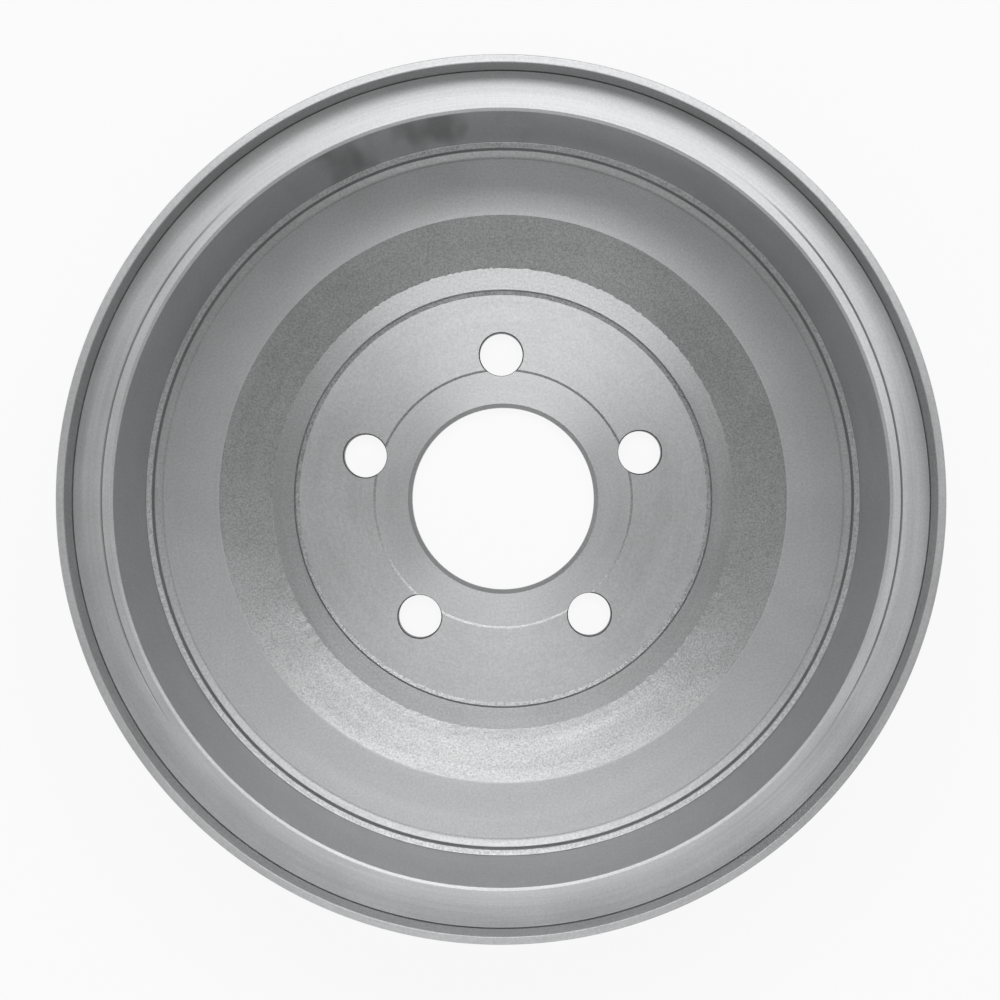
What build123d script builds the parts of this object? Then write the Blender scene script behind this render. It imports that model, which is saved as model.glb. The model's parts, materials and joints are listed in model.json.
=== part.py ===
from build123d import *
import math
import os

# Brake drum: one iron casting, machined on the brake side, in the bore and on the wheel face.
# Millimetres. Z is the drum's axis, z = 0 is the wheel face and +Z points out of the open mouth.

# What the drum fits
friction_diameter = 279.4  # the shoes rub on this cylinder
friction_width = 65.1  # its length along the axis
bolt_circle_diameter = 114.3
lug_hole_diameter = 17.0
lug_hole_count = 5
lug_pattern_turn = 0.75  # degrees that the first hole stands anticlockwise of +Y
bore_diameter = 72.2  # locates on the hub's spigot
rebate_depth = 13.0  # the backing plate's edge runs inside the lip, this far in
land_width = 14.8  # from the friction surface out to the lip's wall
lip_thickness = 2.9

# Walls
wall_thickness = 11.0  # round the friction surface, at the flange
wall_draft = 1.0  # degrees
flange_thickness = 9.0  # from the land to the flange's outer underside
flange_slope = 30.0  # degrees that the underside falls towards the wall
shoulder_radius = 14.0  # between the wall and the web, outside
floor_thickness = 8.5
hub_thickness = 7.2  # at the machined ring

# Floor, from the friction surface in to the hub
ledge_width = 2.2  # the sloping step at the end of the friction surface
ledge_fall = 0.6  # across its width, towards the axis
ledge_lean = 0.8  # its foot stands this much nearer the axis
ledge_corner_radius = 0.5
relief_depth = 4.3  # from the end of the friction surface down to the floor
relief_bevel_width = 2.7  # between the floor and the ledge's foot
relief_bevel_rise = 1.2
relief_bevel_radius = 3.0  # where the bevel leaves the floor
cone_drop = 5.4  # the cone falls this far from the floor to the machined ring
cone_share = 0.484  # of the floor between ring and bevel; the flat takes the rest
cone_radius = 3.0  # where the cone meets the flat floor
cast_radius = 4.0  # the same bend outside, and under the flange

# Machined hub face
ring_width = 8.4  # outside the seat's groove
seat_margin = 16.85  # from the lug holes out to the groove
groove_width = 0.7
groove_depth = 0.6
seat_depth = 0.5  # the hub face lies this far below the machined ring
seat_ramp_width = 1.5
recess_overlap = 1.9  # the shallow recess round the bore cuts this far into the lug holes
recess_depth = 0.25
recess_ramp_width = 0.6
bore_chamfer = 1.6  # on the hub side
wheel_side_chamfer = 0.8
lug_hole_chamfer = 0.3

# Mouth
mouth_radius = 1.2  # where the shoes go in
mouth_ring_width = 4.3  # faintly sloping ring between the mouth and the tool line
mouth_ring_drop = 0.15
tool_line_width = 0.6
tool_line_depth = 0.15
lip_undercut_width = 0.5  # tool relief at the foot of the lip's wall
lip_undercut_depth = 0.5
lip_undercut_rise = 0.3  # it runs this far up the wall
edge_break = 0.4  # machined edges
cast_edge_radius = 1.5

# Heights above the wheel face
ring_z = hub_thickness
hub_face_z = ring_z - seat_depth
recess_z = hub_face_z - recess_depth
floor_z = ring_z + cone_drop
bevel_z = floor_z + relief_bevel_rise
ledge_z = floor_z + relief_depth
land_z = ledge_z + friction_width
mouth_z = land_z - mouth_ring_drop
lip_z = land_z + rebate_depth
flange_z = land_z - flange_thickness
web_z = floor_z - floor_thickness

# Radii from the axis
bore_r = bore_diameter / 2
pitch_r = bolt_circle_diameter / 2
lug_hole_r = lug_hole_diameter / 2
friction_r = friction_diameter / 2
recess_r = pitch_r - lug_hole_r + recess_overlap
groove_r = pitch_r + lug_hole_r + seat_margin
groove_inner_r = groove_r - groove_width / 2
groove_outer_r = groove_r + groove_width / 2
ring_r = groove_outer_r + ring_width
ledge_r = friction_r - ledge_width
ledge_foot_r = ledge_r - ledge_lean
floor_outer_r = ledge_foot_r - relief_bevel_width
cone_outer_r = ring_r + cone_share * (floor_outer_r - ring_r)
tool_line_r = friction_r + mouth_ring_width
rebate_r = friction_r + land_width
lip_r = rebate_r + lip_thickness
wall_r = friction_r + wall_thickness
flange_foot_z = flange_z - (lip_r - wall_r) * math.tan(math.radians(flange_slope))
wall_foot_r = wall_r - (flange_foot_z - web_z) * math.tan(math.radians(wall_draft))


def offset_bend(thickness, slope_run, slope_rise):
    """How far out a bend lies on the far side of a wall, when both its sides bend together."""
    return thickness * math.tan(math.atan2(slope_rise, slope_run) / 2)


cone_run = cone_outer_r - ring_r
wheel_face_r = ring_r + offset_bend(ring_z, cone_run, cone_drop)
web_bend_r = cone_outer_r + offset_bend(floor_thickness, cone_run, cone_drop)


def bore_and_hub_face():
    """Corners from the wheel face through the bore and out over the machined hub face."""
    return [
        (bore_r + wheel_side_chamfer, 0, 0),
        (bore_r, wheel_side_chamfer, 0),
        (bore_r, recess_z - bore_chamfer, 0),
        (bore_r + bore_chamfer, recess_z, 0),
        (recess_r, recess_z, 0),
        (recess_r + recess_ramp_width, hub_face_z, 0),
        (groove_inner_r - seat_ramp_width, hub_face_z, 0),
        (groove_inner_r, ring_z, 0),
        (groove_r, ring_z - groove_depth, 0),
        (groove_outer_r, ring_z, 0),
        (ring_r, ring_z, 0),
    ]


def floor_and_friction_surface():
    """Corners up the cast cone, over the floor and up the friction surface to the mouth."""
    return [
        (cone_outer_r, floor_z, cone_radius),
        (floor_outer_r, floor_z, relief_bevel_radius),
        (ledge_foot_r, bevel_z, 0),
        (ledge_r, ledge_z - ledge_fall, 0),
        (friction_r, ledge_z, ledge_corner_radius),
        (friction_r, mouth_z, mouth_radius),
    ]


def land_and_lip():
    """Corners out over the land, past the tool line, and round the lip."""
    return [
        (tool_line_r - tool_line_width / 2, land_z, 0),
        (tool_line_r, land_z - tool_line_depth, 0),
        (tool_line_r + tool_line_width / 2, land_z, 0),
        (rebate_r - lip_undercut_width, land_z, 0),
        (rebate_r - lip_undercut_width / 2, land_z - lip_undercut_depth, 0),
        (rebate_r, land_z + lip_undercut_rise, 0),
        (rebate_r, lip_z, edge_break),
        (lip_r, lip_z, edge_break),
    ]


def cast_outside():
    """Corners down the outside: flange, drafted wall, shoulder, web and wheel face."""
    return [
        (lip_r, flange_z, cast_edge_radius),
        (wall_r, flange_foot_z, cast_radius),
        (wall_foot_r, web_z, shoulder_radius),
        (web_bend_r, web_z, cast_radius),
        (wheel_face_r, 0, 0),
    ]


def turned(corners):
    """The solid that (radius, height, corner radius) rows sweep round the Z axis."""
    outline = FilletPolyline(
        *[(radius, 0, height) for radius, height, _ in corners],
        radius=[rounding for _, _, rounding in corners],
        close=True,
    )
    return revolve(make_face(outline), Axis.Z)


def lug_hole_cutter():
    """A drill through the hub, with a small countersink at each face."""
    wide_r = lug_hole_r + lug_hole_chamfer
    return turned(
        [
            (0, -hub_thickness, 0),
            (wide_r, -hub_thickness, 0),
            (wide_r, 0, 0),
            (lug_hole_r, lug_hole_chamfer, 0),
            (lug_hole_r, hub_face_z - lug_hole_chamfer, 0),
            (wide_r, hub_face_z, 0),
            (wide_r, 2 * hub_thickness, 0),
            (0, 2 * hub_thickness, 0),
        ]
    )


def brake_drum():
    """The whole casting, turned and drilled."""
    section = (
        bore_and_hub_face() + floor_and_friction_surface() + land_and_lip() + cast_outside()
    )
    holes = PolarLocations(pitch_r, lug_hole_count, start_angle=90 + lug_pattern_turn)
    return turned(section) - holes * lug_hole_cutter()


os.makedirs("parts", exist_ok=True)
export_step(brake_drum(), "parts/brake_drum.step")
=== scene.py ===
import json
import math

import bmesh
import bpy
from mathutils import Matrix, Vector, noise

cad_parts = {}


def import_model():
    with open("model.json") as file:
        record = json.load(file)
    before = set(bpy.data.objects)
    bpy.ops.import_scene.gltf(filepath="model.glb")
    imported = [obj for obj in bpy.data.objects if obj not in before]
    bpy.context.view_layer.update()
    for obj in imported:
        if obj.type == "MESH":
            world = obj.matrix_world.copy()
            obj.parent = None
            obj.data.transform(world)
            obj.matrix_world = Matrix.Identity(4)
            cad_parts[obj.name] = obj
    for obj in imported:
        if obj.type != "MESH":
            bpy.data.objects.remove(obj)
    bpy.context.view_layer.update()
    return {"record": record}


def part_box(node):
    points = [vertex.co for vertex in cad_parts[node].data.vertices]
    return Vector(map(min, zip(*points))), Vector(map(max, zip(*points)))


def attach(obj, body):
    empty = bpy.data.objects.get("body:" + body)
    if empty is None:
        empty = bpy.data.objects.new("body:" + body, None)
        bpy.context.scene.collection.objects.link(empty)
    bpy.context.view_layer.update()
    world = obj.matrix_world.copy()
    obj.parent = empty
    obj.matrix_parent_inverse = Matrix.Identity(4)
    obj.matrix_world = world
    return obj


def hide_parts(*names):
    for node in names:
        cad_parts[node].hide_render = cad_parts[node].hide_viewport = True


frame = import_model()

# A cast-iron brake drum lying on its wheel face with the mouth up. Metres, in the CAD frame:
# z = 0 is the wheel face, +Z points out of the mouth, and the drum turns about Z.

MM = 0.001
TURN = 2 * math.pi

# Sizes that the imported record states
mounts = {mount["name"]: mount for mount in frame["record"]["mounts"]}
friction_r = mounts["friction_surface"]["dims"]["r_mm"] * MM
rebate_r = mounts["backing_plate_rebate"]["dims"]["r_mm"] * MM
bore_r = mounts["centre_bore"]["dims"]["r_mm"] * MM
pitch_r = mounts["lug_holes"]["dims"]["pcd_mm"] / 2 * MM
lug_hole_r = mounts["lug_holes"]["dims"]["hole_r_mm"] * MM
lug_hole_count = mounts["lug_holes"]["dims"]["count"]
hub_face_z = mounts["hub_face"]["pos_m"][2]
_, high_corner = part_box("brake_drum")
lip_z = high_corner.z
lip_thickness = 2.9 * MM
lip_r = rebate_r + lip_thickness

# Section, as the drum is made
lug_pattern_turn = 0.75  # degrees that the first hole stands anticlockwise of +Y
wall_thickness = 11 * MM
wall_draft = 1.0  # degrees
flange_thickness = 9 * MM
flange_slope = 30.0  # degrees
shoulder_radius = 14 * MM
floor_thickness = 8.5 * MM
ledge_width = 2.2 * MM
ledge_fall = 0.6 * MM
ledge_lean = 0.6 * MM
ledge_corner_radius = 0.5 * MM
ledge_edge_radius = 0.4 * MM
ledge_foot_radius = 0.7 * MM
relief_depth = 4.3 * MM
relief_bevel_width = 2.7 * MM
relief_bevel_rise = 1.2 * MM
relief_bevel_radius = 3 * MM
cone_drop = 5.4 * MM
cone_share = 0.484
cone_radius = 3 * MM
cast_radius = 4 * MM
ring_width = 8.4 * MM
seat_margin = 16.85 * MM
groove_width = 0.7 * MM
groove_depth = 0.6 * MM
seat_depth = 0.5 * MM
seat_ramp_width = 1.5 * MM
recess_overlap = 1.9 * MM
recess_depth = 0.25 * MM
recess_ramp_width = 0.9 * MM
bore_chamfer = 1.6 * MM
wheel_side_chamfer = 0.8 * MM
lug_hole_chamfer = 0.45 * MM
rebate_depth = 13 * MM
mouth_radius = 0.3 * MM
mouth_edge_width = 1.2 * MM  # the broken edge where the shoes go in
mouth_edge_drop = 0.45 * MM
mouth_ring_width = 4.3 * MM
mouth_ring_drop = 0.09 * MM
tool_line_width = 0.8 * MM
tool_line_depth = 0.15 * MM
lip_undercut_width = 0.5 * MM
lip_undercut_depth = 0.5 * MM
lip_undercut_rise = 0.3 * MM
edge_break = 0.4 * MM
cast_edge_radius = 1.5 * MM

# Heights and radii that follow
ring_z = hub_face_z + seat_depth
recess_z = hub_face_z - recess_depth
floor_z = ring_z + cone_drop
bevel_z = floor_z + relief_bevel_rise
ledge_z = floor_z + relief_depth
land_z = lip_z - rebate_depth
mouth_z = land_z - mouth_ring_drop
flange_z = land_z - flange_thickness
web_z = floor_z - floor_thickness
recess_r = pitch_r - lug_hole_r + recess_overlap
groove_r = pitch_r + lug_hole_r + seat_margin
groove_inner_r = groove_r - groove_width / 2
groove_outer_r = groove_r + groove_width / 2
ring_r = groove_outer_r + ring_width
ledge_r = friction_r - ledge_width
ledge_foot_r = ledge_r - ledge_lean
floor_outer_r = ledge_foot_r - relief_bevel_width
cone_outer_r = ring_r + cone_share * (floor_outer_r - ring_r)
tool_line_r = friction_r + mouth_ring_width
ring_rise = mouth_ring_drop / (mouth_ring_width - tool_line_width / 2)
wall_r = friction_r + wall_thickness
flange_foot_z = flange_z - (lip_r - wall_r) * math.tan(math.radians(flange_slope))
wall_foot_r = wall_r - (flange_foot_z - web_z) * math.tan(math.radians(wall_draft))
bend = math.tan(math.atan2(cone_drop, cone_outer_r - ring_r) / 2)
wheel_face_r = ring_r + ring_z * bend
web_bend_r = cone_outer_r + floor_thickness * bend

# How finely the piece is meshed
STEPS_ROUND = 600
HOLE_SIDES = 96
CAST_ROW = 3.0 * MM  # a cast face has a row of points at least this often
ARC_STEP = math.radians(9.5)  # less than SHARP, so that a round shades smooth
SHARP = math.radians(10)
CAST = ("cast", "cone")
SAME = 0.001 * MM  # two lengths this close are one

# How the turned form departs from a perfect one
SKIN_WAVE = 0.15 * MM  # a cast face dips inwards by up to this much
SKIN_SCALE = 60  # its waves, per metre
RAGGED_EDGE = 0.55 * MM  # of the line where the facing cut meets the rough cone
RAGGED_TURNS = (90, 330)  # coarse and fine waves of that line, round the drum
FINE_SHARE = 0.7
LINE_AT_REST = 0.1  # share of the tool line's depth near the Y axis, where it is faint
LINE_RIGHT, LINE_LEFT = 2.6, 1.6  # what that share gains towards +X and -X
SIDE_LEAN, SIDE_FROM, SIDE_FADE = 0.13, 0.74, 0.16  # where those two sides begin

# The iron's pattern. A scale is per metre, and turns are how fast a pattern changes round the drum.
USUAL_SPREAD = (0.3, 0.7)  # of a noise's values
FEED_PITCH = 0.35 * MM
FEED_TURNS = 2.5
BAND_SCALE, BAND_TURNS = 220.0, 1.2
BAND_SHARE = 0.7  # broad bands vary the tone by this share of what tool marks do
CLOUD_SCALE = 38.0
MOTTLE = 0.04
ROUGH_BANDS, ROUGH_CLOUD = 0.03, 0.02
PIT_SHARE, PIT_DEPTH = 0.55, 0.6  # pits are wider and shallower than the sand's grain
SPECK_SPREAD = (0.35, 0.65)
STAIN_SCALE = (105.0, 105.0, 16.0)
STAIN_SPREAD = (0.42, 0.68)
STAINED_BEARING, STAINED_FADE = -15, (0.93, 0.985)
# Painted highlight: the land's colour is lightened towards this bearing, on the drum's +X side
SHEEN_BEARING, SHEEN_FADE = 93, (0.45, 0.95)
COOL_TINT = {"Red": 1.0, "Green": 1.008, "Blue": 1.018}


# ---------------------------------------------------------------- shader helpers


class Nodes:
    """A material's node tree, with short ways to add nodes and join them."""

    def __init__(self, name):
        self.material = bpy.data.materials.new(name)
        self.material.use_nodes = True
        self.tree = self.material.node_tree
        self.tree.nodes.clear()

    def add(self, kind, inputs=None, **settings):
        node = self.tree.nodes.new(kind)
        for key, value in settings.items():
            setattr(node, key, value)
        for key, value in (inputs or {}).items():
            self.put(node.inputs[key], value)
        return node

    def put(self, socket, value):
        if isinstance(value, bpy.types.NodeSocket):
            self.tree.links.new(value, socket)
        else:
            socket.default_value = value

    def math(self, operation, *values, clamp=False):
        node = self.add("ShaderNodeMath", operation=operation, use_clamp=clamp)
        for socket, value in zip(node.inputs, values):
            self.put(socket, value)
        return node.outputs[0]

    def remap(self, value, low, high, to_low, to_high):
        node = self.add(
            "ShaderNodeMapRange",
            {"Value": value, "From Min": low, "From Max": high, "To Min": to_low, "To Max": to_high},
        )
        return node.outputs["Result"]

    def vary(self, noise, centre, amount):
        """The centre value, give or take this amount over the spread that a noise usually has."""
        return self.remap(noise, *USUAL_SPREAD, centre - amount, centre + amount)

    def noise(self, vector, scale, detail, roughness=0.5):
        node = self.add(
            "ShaderNodeTexNoise",
            {"Vector": vector, "Scale": scale, "Detail": detail, "Roughness": roughness},
        )
        return node.outputs["Fac"]


def place_sockets(nodes):
    """Object coordinates, the distance across the turning, and the direction (x, y) from the axis."""
    place = nodes.add("ShaderNodeTexCoord").outputs["Object"]
    parts = nodes.add("ShaderNodeSeparateXYZ", {"Vector": place})
    x, y, z = parts.outputs
    radius = nodes.math("SQRT", nodes.math("ADD", nodes.math("MULTIPLY", x, x), nodes.math("MULTIPLY", y, y)))
    across = nodes.math("ADD", radius, z)
    return place, across, (nodes.math("DIVIDE", x, radius), nodes.math("DIVIDE", y, radius))


def turned_vector(nodes, across, unit, across_scale, round_scale):
    """Noise coordinates drawn out round the axis, like the marks of a lathe tool."""
    return nodes.add(
        "ShaderNodeCombineXYZ",
        {
            "X": nodes.math("MULTIPLY", across, across_scale),
            "Y": nodes.math("MULTIPLY", unit[0], round_scale),
            "Z": nodes.math("MULTIPLY", unit[1], round_scale),
        },
    ).outputs[0]


def darkened(nodes, tone, share):
    return nodes.math("MULTIPLY", tone, nodes.math("SUBTRACT", 1.0, share))


def facing(nodes, unit, bearing):
    """1 on the side of the drum at this bearing, clockwise from +Y in degrees, down to -1 opposite."""
    turn = math.radians(bearing)
    return nodes.math(
        "ADD",
        nodes.math("MULTIPLY", unit[0], math.sin(turn)),
        nodes.math("MULTIPLY", unit[1], math.cos(turn)),
    )


def stained(nodes, tone, place, unit, stain):
    """Dark blots on one side, drawn out down the wall."""
    side = nodes.remap(facing(nodes, unit, STAINED_BEARING), *STAINED_FADE, 0.0, 1.0)
    runs = nodes.add("ShaderNodeMapping", {"Vector": place, "Scale": STAIN_SCALE}).outputs[0]
    blot = nodes.remap(nodes.noise(runs, 1.0, detail=1.0), *STAIN_SPREAD, 0.0, stain)
    return darkened(nodes, tone, nodes.math("MULTIPLY", side, blot))


def shaded_at_sides(nodes, tone, unit, side_shade):
    """Painted shade in the tool line at the drum's sides, where it bites."""
    beside = nodes.math("ADD", nodes.math("ABSOLUTE", unit[0]), nodes.math("MULTIPLY", unit[1], SIDE_LEAN))
    return darkened(nodes, tone, nodes.remap(beside, SIDE_FROM, SIDE_FROM + SIDE_FADE, 0.0, side_shade))


def iron(
    name,
    grey,
    roughness,
    metallic=1.0,
    anisotropic=0.0,
    feed=0.0,
    grain=0.0,
    grain_size=0.5 * MM,
    speckle=0.0,
    streak=0.0,
    stain=0.0,
    side_sheen=0.0,
    side_shade=0.0,
):
    """Grey iron. feed is the height of the tool's marks and grain that of the casting's sand skin."""
    nodes = Nodes(name)
    place, across, unit = place_sockets(nodes)
    marks_at = turned_vector(nodes, across, unit, 1 / FEED_PITCH, FEED_TURNS)
    tool_marks = nodes.noise(marks_at, 1.0, detail=3.0, roughness=0.65)
    bands = nodes.noise(turned_vector(nodes, across, unit, BAND_SCALE, BAND_TURNS), 1.0, detail=2.0)
    cloud = nodes.noise(place, CLOUD_SCALE, detail=3.0)
    sand = nodes.noise(place, 1 / grain_size, detail=3.0, roughness=0.62)
    pits = nodes.noise(place, PIT_SHARE / grain_size, detail=1.0, roughness=0.4)

    tone = nodes.vary(cloud, 1.0, MOTTLE)
    specks = nodes.math("MULTIPLY", nodes.math("ADD", sand, pits), 0.5)
    specks = nodes.remap(specks, *SPECK_SPREAD, 1 - speckle, 1 + speckle)
    for change in (specks, nodes.vary(tool_marks, 1.0, streak), nodes.vary(bands, 1.0, streak * BAND_SHARE)):
        tone = nodes.math("MULTIPLY", tone, change)
    if stain:
        tone = stained(nodes, tone, place, unit, stain)
    # painted highlight: the colour is lighter on one side of the drum
    if side_sheen:
        painted_sheen = nodes.remap(facing(nodes, unit, SHEEN_BEARING), *SHEEN_FADE, 1.0, 1.0 + side_sheen)
        tone = nodes.math("MULTIPLY", tone, painted_sheen)
    # painted shade in the tool line at the drum's sides
    if side_shade:
        tone = shaded_at_sides(nodes, tone, unit, side_shade)
    channels = {channel: nodes.math("MULTIPLY", tone, grey * tint) for channel, tint in COOL_TINT.items()}
    colour = nodes.add("ShaderNodeCombineColor", channels).outputs[0]
    rough = nodes.math("ADD", nodes.vary(bands, roughness, ROUGH_BANDS), nodes.vary(cloud, 0.0, ROUGH_CLOUD))

    skin = nodes.math(
        "ADD",
        nodes.math("MULTIPLY", sand, grain),
        nodes.math("MULTIPLY", pits, grain * PIT_DEPTH),
    )
    height = nodes.math("ADD", nodes.math("MULTIPLY", tool_marks, feed), skin)
    bump = nodes.add("ShaderNodeBump", {"Height": height, "Distance": 1.0, "Strength": 1.0})
    shader = nodes.add(
        "ShaderNodeBsdfPrincipled",
        {
            "Base Color": colour,
            "Metallic": metallic,
            "Roughness": rough,
            "Anisotropic": anisotropic,
            "Anisotropic Rotation": 0.25,  # across the tangent, which runs round the axis
            "Normal": bump.outputs[0],
        },
    )
    if anisotropic:
        tangent = nodes.add("ShaderNodeTangent", direction_type="RADIAL", axis="Z")
        nodes.put(shader.inputs["Tangent"], tangent.outputs[0])
    output = nodes.add("ShaderNodeOutputMaterial")
    nodes.put(output.inputs["Surface"], shader.outputs[0])
    return nodes.material


TURNED = dict(roughness=0.5, anisotropic=0.6, feed=0.004 * MM)
PLAIN_CUT = dict(feed=0.004 * MM, speckle=0.08)
FINISHES = {
    "lip_face": dict(TURNED, grey=0.60, streak=0.05, speckle=0.08),
    "lip_wall": dict(TURNED, grey=0.36, roughness=0.6, anisotropic=0.8, streak=0.05, speckle=0.2),
    # the land carries that painted highlight on its +X side
    "land": dict(TURNED, grey=0.64, streak=0.07, speckle=0.06, side_sheen=0.22),
    "friction": dict(
        grey=0.525, roughness=0.35, anisotropic=0.5, feed=0.002 * MM, streak=0.04, speckle=0.14, stain=0.5
    ),
    "ledge": dict(grey=0.50, roughness=0.44, anisotropic=0.4, grain=0.05 * MM, feed=0.01 * MM, speckle=0.28),
    "step": dict(PLAIN_CUT, grey=0.42, roughness=0.45, speckle=0.10),
    "bevel": dict(grey=0.47, roughness=0.43, anisotropic=0.5, feed=0.006 * MM, speckle=0.16),
    "floor": dict(grey=0.70, roughness=0.58, anisotropic=0.8, feed=0.003 * MM, speckle=0.08, streak=0.02),
    "cone": dict(
        grey=0.38,
        roughness=0.38,
        anisotropic=0.4,
        grain=0.03 * MM,
        grain_size=0.42 * MM,
        feed=0.01 * MM,
        speckle=0.24,
    ),
    "ring": dict(TURNED, grey=0.52, roughness=0.42, anisotropic=0.75, streak=0.04, speckle=0.13),
    "ramp": dict(grey=0.38, roughness=0.45, anisotropic=0.4, grain=0.05 * MM, feed=0.02 * MM, speckle=0.35),
    "recess_edge": dict(PLAIN_CUT, grey=0.34, roughness=0.4, speckle=0.22),
    "groove": dict(PLAIN_CUT, grey=0.50, roughness=0.45),
    "hub": dict(TURNED, grey=0.58, anisotropic=0.65, streak=0.03, speckle=0.095),
    "bored": dict(PLAIN_CUT, grey=0.48, roughness=0.5),
    "drilled": dict(PLAIN_CUT, grey=0.22, roughness=0.5, speckle=0.2),
    "mouth": dict(grey=0.52, roughness=0.47, anisotropic=0.3, feed=0.003 * MM, speckle=0.08),
    # the tool line carries painted shade at the drum's sides
    "line": dict(TURNED, grey=0.64, side_shade=0.36),
    "cast": dict(grey=0.33, roughness=0.65, metallic=0.6, grain=0.06 * MM, grain_size=0.9 * MM, speckle=0.12),
}
FINISH_ORDER = list(FINISHES)


# ---------------------------------------------------------------- the section


def section():
    """(radius, height, corner radius, finish of the stretch that follows) round the drum's section."""
    return [
        (bore_r + wheel_side_chamfer, 0, 0, "bored"),
        (bore_r, wheel_side_chamfer, 0, "bored"),
        (bore_r, recess_z - bore_chamfer, 0, "bored"),
        (bore_r + bore_chamfer, recess_z, 0, "hub"),
        (recess_r, recess_z, 0, "recess_edge"),
        (recess_r + recess_ramp_width, hub_face_z, 0, "hub"),
        (groove_inner_r - seat_ramp_width, hub_face_z, 0, "ramp"),
        (groove_inner_r, ring_z, 0, "groove"),
        (groove_r, ring_z - groove_depth, 0, "groove"),
        (groove_outer_r, ring_z, 0, "ring"),
        (ring_r, ring_z, 0, "cone"),
        (cone_outer_r, floor_z, cone_radius, "floor"),
        (floor_outer_r, floor_z, relief_bevel_radius, "bevel"),
        (ledge_foot_r, bevel_z, ledge_foot_radius, "step"),
        (ledge_r, ledge_z - ledge_fall, ledge_edge_radius, "ledge"),
        (friction_r, ledge_z, ledge_corner_radius, "friction"),
        (friction_r, mouth_z - mouth_edge_drop, mouth_radius, "mouth"),
        (friction_r + mouth_edge_width, mouth_z + ring_rise * mouth_edge_width, 0, "land"),
        (tool_line_r - tool_line_width / 2, land_z, 0, "line"),
        (tool_line_r, land_z - tool_line_depth, 0, "line"),
        (tool_line_r + tool_line_width / 2, land_z, 0, "land"),
        (rebate_r - lip_undercut_width, land_z, 0, "bored"),
        (rebate_r - lip_undercut_width / 2, land_z - lip_undercut_depth, 0, "bored"),
        (rebate_r, land_z + lip_undercut_rise, 0, "lip_wall"),
        (rebate_r, lip_z, edge_break, "lip_face"),
        (lip_r, lip_z, edge_break, "lip_face"),
        (lip_r, flange_z, cast_edge_radius, "cast"),
        (wall_r, flange_foot_z, cast_radius, "cast"),
        (wall_foot_r, web_z, shoulder_radius, "cast"),
        (web_bend_r, web_z, cast_radius, "cast"),
        (wheel_face_r, 0, 0, "land"),
    ]


def arc(before, corner, after, radius, step):
    """Points of the round of this radius that replaces a corner."""
    a, b = (before - corner).normalized(), (after - corner).normalized()
    half = a.angle(b) / 2
    centre = corner + (a + b).normalized() * (radius / math.sin(half))
    start, end = corner + a * (radius / math.tan(half)), corner + b * (radius / math.tan(half))
    sweep = math.pi - 2 * half
    count = max(2, math.ceil(sweep / step))
    spin = 1 if (start - centre).cross(end - centre) > 0 else -1
    first = start - centre
    points = []
    for i in range(count + 1):
        t = spin * sweep * i / count
        c, s = math.cos(t), math.sin(t)
        points.append(centre + Vector((first.x * c - first.y * s, first.x * s + first.y * c)))
    return points


def outline():
    """[(point in (radius, height), finish of the stretch that follows)], closed, with its rounds."""
    corners = section()
    spots = [Vector((radius, height)) for radius, height, _, _ in corners]
    out = []
    for i, (_, _, rounding, finish) in enumerate(corners):
        before, after = spots[i - 1], spots[(i + 1) % len(spots)]
        points = arc(before, spots[i], after, rounding, ARC_STEP) if rounding else [spots[i]]
        out += [(point, finish) for point in points]
    return out


def with_rows(stretches):
    """Adds rows of points along the stretches whose finish is cast, so that their skin can be uneven."""
    out = []
    for i, (point, finish) in enumerate(stretches):
        nxt = stretches[(i + 1) % len(stretches)][0]
        rows = max(1, math.ceil((nxt - point).length / CAST_ROW)) if finish in CAST else 1
        out += [(point.lerp(nxt, k / rows), finish) for k in range(rows)]
    return out


def ragged(x, y):
    coarse, fine = RAGGED_TURNS
    wave = noise.noise((x * coarse, y * coarse, 3)) + FINE_SHARE * noise.noise((x * fine, y * fine, 7))
    return RAGGED_EDGE * wave


def tool_line_bottom(x, y):
    beside = min(1, max(0, (abs(x) + SIDE_LEAN * y - SIDE_FROM) / SIDE_FADE))
    return land_z - tool_line_depth * (LINE_AT_REST + (LINE_RIGHT if x > 0 else LINE_LEFT) * beside)


def settled(radius, height, turn, inward, cast):
    """Where a point of the section lands at this turn: cast skin waves, and two machined lines vary."""
    x, y = math.cos(turn), math.sin(turn)
    if abs(radius - ring_r) < SAME:
        radius += ragged(x, y)
    elif abs(radius - tool_line_r) < SAME:
        height = tool_line_bottom(x, y)
    elif cast:
        here = Vector((x * radius, y * radius, height))
        wave = 0.5 + 0.5 * noise.noise(here * SKIN_SCALE)
        radius += inward.x * SKIN_WAVE * wave
        height += inward.y * SKIN_WAVE * wave
    return radius * x, radius * y, height


def give_finishes(mesh, materials):
    for name in FINISH_ORDER:
        mesh.materials.append(materials[name])


def face_outwards(mesh):
    bm = bmesh.new()
    bm.from_mesh(mesh)
    bmesh.ops.recalc_face_normals(bm, faces=bm.faces)
    bm.to_mesh(mesh)
    bm.free()


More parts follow.
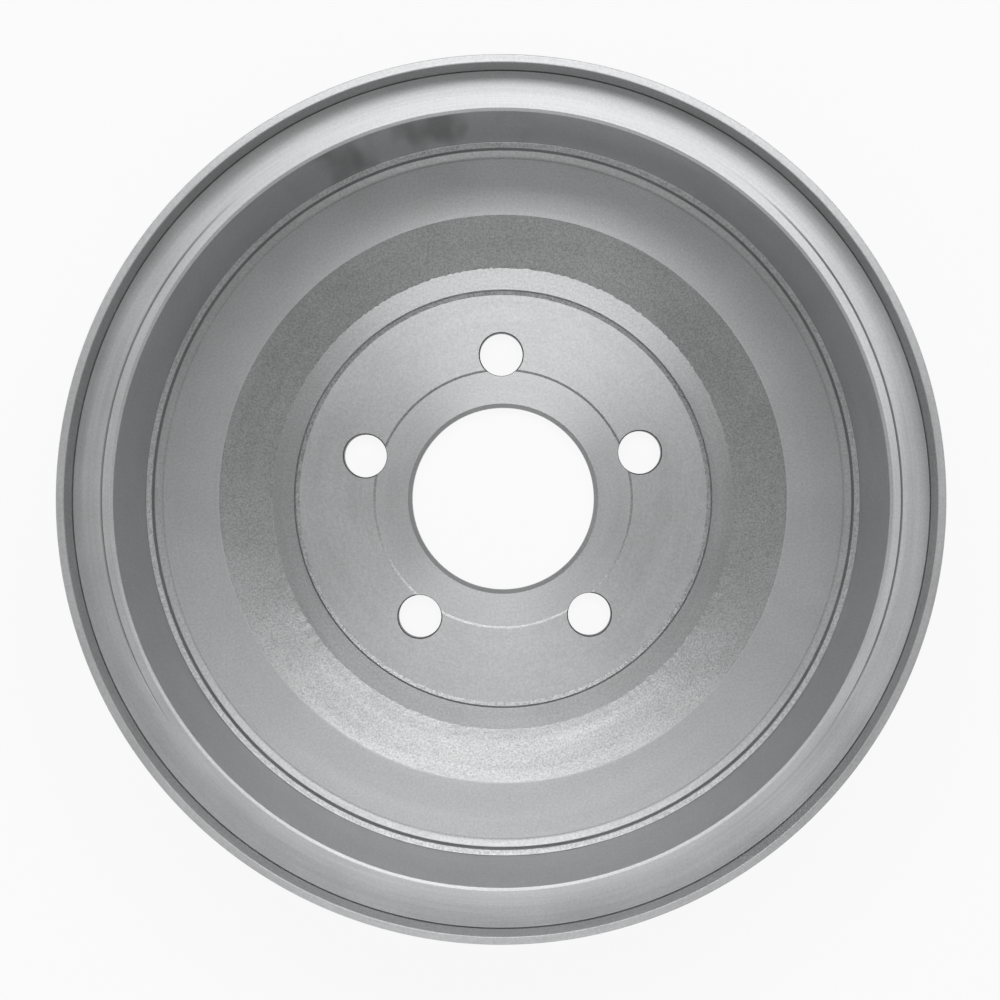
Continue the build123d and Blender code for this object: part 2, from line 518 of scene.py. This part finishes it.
def build_drum(materials):
    """The turned section swept round Z, with a material for each finish."""
    rows = with_rows(outline())
    mesh = bpy.data.meshes.new("brake_drum_iron")
    verts, faces, slots = [], [], []
    for i, (point, finish) in enumerate(rows):
        before, after = rows[i - 1], rows[(i + 1) % len(rows)]
        along = (after[0] - before[0]).normalized()
        cast = finish in CAST and before[1] in CAST
        for j in range(STEPS_ROUND):
            verts.append(settled(point.x, point.y, TURN * j / STEPS_ROUND, Vector((along.y, -along.x)), cast))
    for i, (_, finish) in enumerate(rows):
        nxt = (i + 1) % len(rows)
        for j in range(STEPS_ROUND):
            k = (j + 1) % STEPS_ROUND
            faces.append(
                (i * STEPS_ROUND + j, nxt * STEPS_ROUND + j, nxt * STEPS_ROUND + k, i * STEPS_ROUND + k)
            )
            slots.append(FINISH_ORDER.index(finish))
    mesh.from_pydata(verts, [], faces)
    mesh.polygons.foreach_set("material_index", slots)
    drum = bpy.data.objects.new("brake_drum_iron", mesh)
    bpy.context.scene.collection.objects.link(drum)
    give_finishes(mesh, materials)
    face_outwards(mesh)
    return drum


def drill(drum, materials):
    """Cuts the lug holes, each with a small countersink at both faces."""
    wide = lug_hole_r + lug_hole_chamfer
    reach = 2 * hub_face_z
    profile = [
        (wide, -reach),
        (wide, 0),
        (lug_hole_r, lug_hole_chamfer),
        (lug_hole_r, hub_face_z - lug_hole_chamfer),
        (wide, hub_face_z),
        (wide, 2 * reach),
    ]
    mesh = bpy.data.meshes.new("drill")
    verts, faces = [], []
    for hole in range(lug_hole_count):
        turn = math.radians(90 + lug_pattern_turn) + TURN * hole / lug_hole_count
        centre = (pitch_r * math.cos(turn), pitch_r * math.sin(turn))
        first = len(verts)
        for radius, height in profile:
            for j in range(HOLE_SIDES):
                t = TURN * j / HOLE_SIDES
                verts.append((centre[0] + radius * math.cos(t), centre[1] + radius * math.sin(t), height))
        for i in range(len(profile) - 1):
            for j in range(HOLE_SIDES):
                k = (j + 1) % HOLE_SIDES
                a, b = first + i * HOLE_SIDES, first + (i + 1) * HOLE_SIDES
                faces.append((a + j, a + k, b + k, b + j))
        faces.append(tuple(first + j for j in reversed(range(HOLE_SIDES))))
        last = first + (len(profile) - 1) * HOLE_SIDES
        faces.append(tuple(last + j for j in range(HOLE_SIDES)))
    mesh.from_pydata(verts, [], faces)
    give_finishes(mesh, materials)
    mesh.polygons.foreach_set("material_index", [FINISH_ORDER.index("drilled")] * len(mesh.polygons))
    cutter = bpy.data.objects.new("drill", mesh)
    bpy.context.scene.collection.objects.link(cutter)
    cut = drum.modifiers.new("drill", "BOOLEAN")
    cut.operation = "DIFFERENCE"
    cut.solver = "EXACT"
    cut.object = cutter
    bpy.context.view_layer.update()
    graph = bpy.context.evaluated_depsgraph_get()
    drilled = bpy.data.meshes.new_from_object(drum.evaluated_get(graph))
    drum.modifiers.clear()
    drum.data = drilled
    bpy.data.objects.remove(cutter)


def shade(drum):
    """Smooth rounds, sharp corners, and flats that stay flat beside a round."""
    mesh = drum.data
    mesh.polygons.foreach_set("use_smooth", [True] * len(mesh.polygons))
    mesh.set_sharp_from_angle(angle=SHARP)
    even = drum.modifiers.new("even", "WEIGHTED_NORMAL")
    even.keep_sharp = True
    even.weight = 100
    graph = bpy.context.evaluated_depsgraph_get()
    drum.data = bpy.data.meshes.new_from_object(drum.evaluated_get(graph))
    drum.modifiers.clear()


materials = {name: iron(name, **finish) for name, finish in FINISHES.items()}
drum = build_drum(materials)
drill(drum, materials)
shade(drum)
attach(drum, "root")
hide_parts("brake_drum")


# ---------------------------------------------------------------- the studio


LAMP_DISTANCE = 1.3
LAMP_AIM = Vector((0, 0, 0.04))
LAMPS = [  # name, bearing and tilt in degrees, size in metres, power in watts
    ("key", 6, 24, (1.1, 0.25), 4.8),
    ("key_low", 6, 36, (1.1, 0.3), 2.3),
    ("back", 186, 45, (1.1, 0.8), 2.2),
    ("right", 96, 50, (1.1, 0.8), 0.7),
    ("left", 276, 50, (1.1, 0.8), 1.1),
]
AMBIENT = 0.33
FLOOR_HALF = 40.0  # wide enough to fill low views too
FLOOR_PAINT = (0.8, 0.8, 0.8, 1)
FLOOR_WHITE = 0.9  # the rest of the floor's colour keeps the drum's shadow

EYE = (0.0065, 0.0026, lip_z + 0.727)  # it looks straight down
SENSOR = 36.0  # mm
FOCAL_RATIO = 2.058  # focal length over the sensor's width
SHIFT_X, SHIFT_Y = -0.0195, -0.0079


def backdrop_shader(nodes, shader, white):
    """What the camera, gloss and glass see is white; everything else meets the plain surface."""
    path = nodes.add("ShaderNodeLightPath").outputs
    seen = nodes.math(
        "MAXIMUM",
        path["Is Camera Ray"],
        nodes.math("MAXIMUM", path["Is Glossy Ray"], path["Is Transmission Ray"]),
    )
    glow = nodes.add("ShaderNodeEmission", {"Color": (1, 1, 1, 1), "Strength": 1.0})
    return nodes.add(
        "ShaderNodeMixShader",
        {"Fac": nodes.math("MULTIPLY", seen, white), 1: shader, 2: glow.outputs[0]},
    ).outputs[0]


def floor():
    nodes = Nodes("floor")
    paint = nodes.add("ShaderNodeBsdfDiffuse", {"Color": FLOOR_PAINT})
    output = nodes.add("ShaderNodeOutputMaterial")
    nodes.put(output.inputs["Surface"], backdrop_shader(nodes, paint.outputs[0], FLOOR_WHITE))
    mesh = bpy.data.meshes.new("floor")
    corners = [(x * FLOOR_HALF, y * FLOOR_HALF, 0) for x, y in ((-1, -1), (1, -1), (1, 1), (-1, 1))]
    mesh.from_pydata(corners, [], [(0, 1, 2, 3)])
    mesh.materials.append(nodes.material)
    plane = bpy.data.objects.new("floor", mesh)
    bpy.context.scene.collection.objects.link(plane)


def world():
    sky = bpy.data.worlds.new("studio")
    sky.use_nodes = True
    tree = sky.node_tree
    tree.nodes.clear()
    ambient = tree.nodes.new("ShaderNodeBackground")
    ambient.inputs["Color"].default_value = (1, 1, 1, 1)
    ambient.inputs["Strength"].default_value = AMBIENT
    output = tree.nodes.new("ShaderNodeOutputWorld")
    tree.links.new(ambient.outputs[0], output.inputs["Surface"])
    bpy.context.scene.world = sky


def softbox(name, bearing, tilt, size, power):
    """A soft lamp that faces the mouth. Bearing runs clockwise from +Y, and tilt is off the vertical."""
    light = bpy.data.lights.new(name, "AREA")
    light.shape = "RECTANGLE"
    light.size, light.size_y = size
    light.energy = power
    lamp = bpy.data.objects.new(name, light)
    round_z, off_z = math.radians(bearing), math.radians(tilt)
    away = Vector((math.sin(off_z) * math.sin(round_z), math.sin(off_z) * math.cos(round_z), math.cos(off_z)))
    lamp.location = LAMP_AIM + LAMP_DISTANCE * away
    lamp.rotation_euler = away.to_track_quat("Z", "Y").to_euler()
    bpy.context.scene.collection.objects.link(lamp)


def camera():
    data = bpy.data.cameras.new("camera")
    data.sensor_width = SENSOR
    data.lens = FOCAL_RATIO * SENSOR
    data.clip_start = 0.01
    data.shift_x = SHIFT_X
    data.shift_y = SHIFT_Y
    eye = bpy.data.objects.new("camera", data)
    eye.location = EYE
    bpy.context.scene.collection.objects.link(eye)
    bpy.context.scene.camera = eye


floor()
world()
for lamp in LAMPS:
    softbox(*lamp)
camera()
bpy.context.scene.view_settings.view_transform = "Standard"
